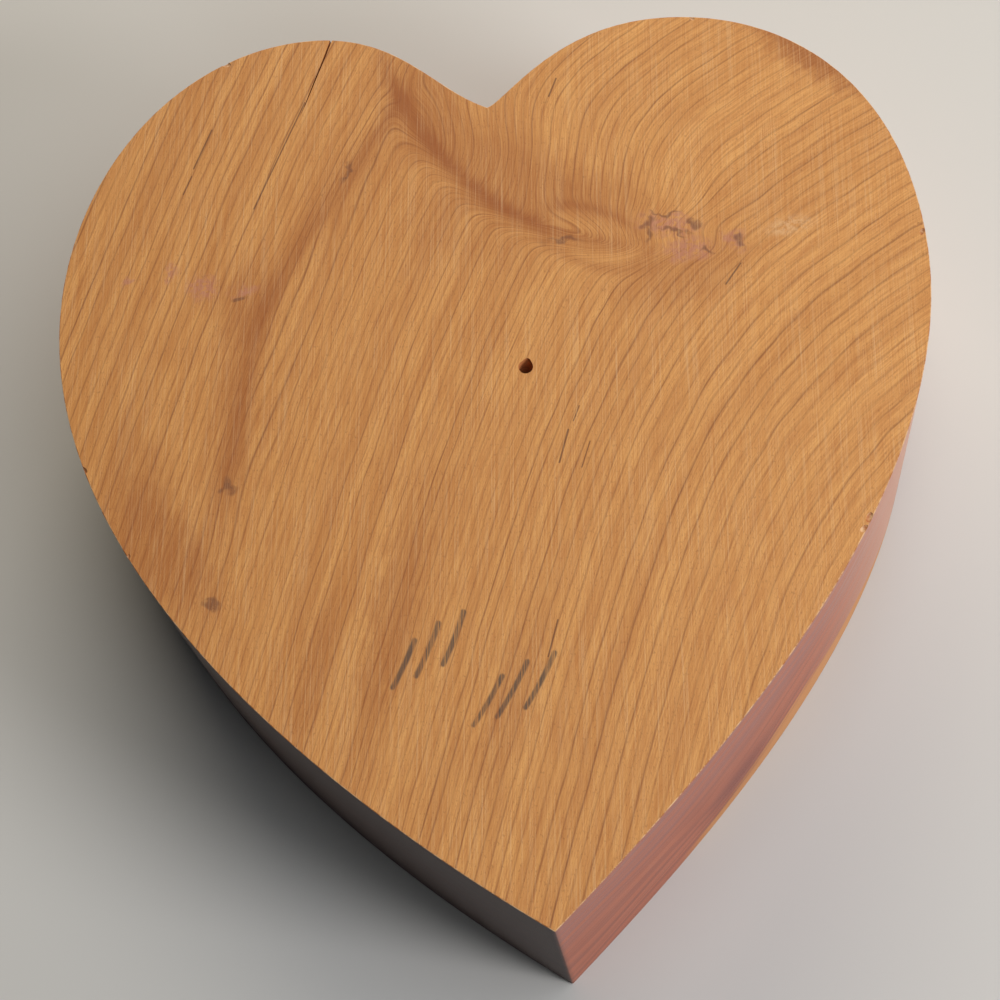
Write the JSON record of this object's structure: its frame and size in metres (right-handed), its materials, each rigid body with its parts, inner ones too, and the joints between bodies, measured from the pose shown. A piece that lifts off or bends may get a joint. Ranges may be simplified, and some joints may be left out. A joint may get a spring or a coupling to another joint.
{
  "type": "heart-shaped trinket box",
  "caption": "Heart-shaped wooden trinket box cut from one block, with a drop-in lid, lying upside down on its rim.",
  "frame": {"origin": "middle of the box's length and width, on the surface that it lies on, which the rim and the lid's outer face touch", "axes": "+Z points out of the box's underside, because the box is modelled lying upside down as in the picture. +Y runs from the heart's tip to its cleft. To stand the box the right way up, turn it half a turn about Y."},
  "size_m": [0.15, 0.1648, 0.05],
  "materials": {
    "bare_wood": "bare golden-brown softwood, sawn and lightly sanded, satin",
    "lid_wood": "the same wood, oiled, with a red-brown tint"
  },
  "bodies": {
    "root": {"heart_box_body": "bare_wood", "lid": "lid_wood"}
  },
  "joints": []
}
